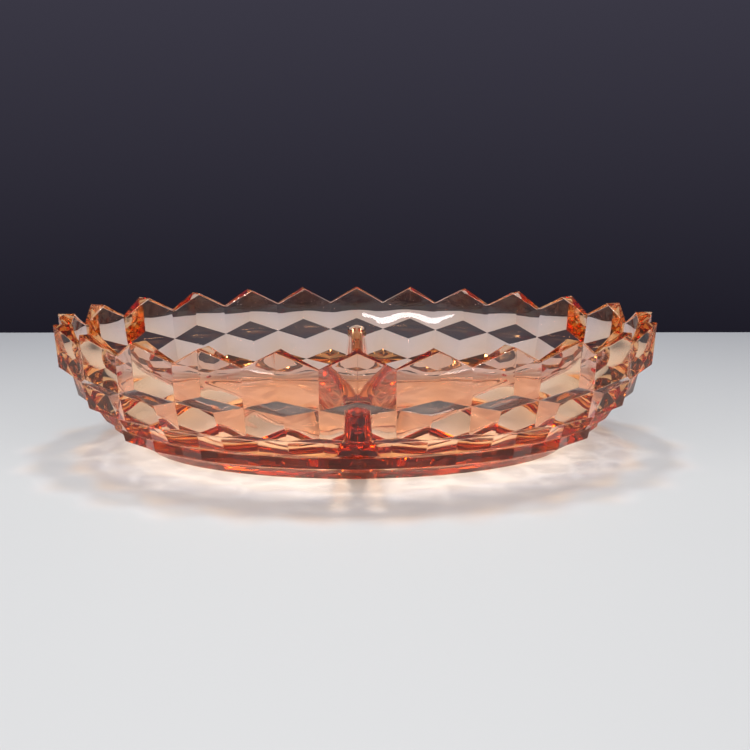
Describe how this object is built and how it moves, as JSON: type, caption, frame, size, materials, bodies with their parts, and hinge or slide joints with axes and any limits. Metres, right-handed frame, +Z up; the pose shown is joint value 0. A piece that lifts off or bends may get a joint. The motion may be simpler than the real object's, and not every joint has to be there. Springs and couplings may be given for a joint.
{
  "type": "divided candy dish",
  "caption": "Oval pressed-glass dish with a pointed rim, a stacked-cube outside, a smooth inside and one low divider across the middle.",
  "frame": {"origin": "middle of the foot, on the surface that the dish stands on", "axes": "+X along the long axis, +Y across it along the divider, +Z up"},
  "size_m": [0.254, 0.1716, 0.0575],
  "materials": {
    "pink_glass": "clear pale pink pressed glass, fire polished"
  },
  "bodies": {
    "root": {"divided_dish": "pink_glass"}
  },
  "joints": []
}
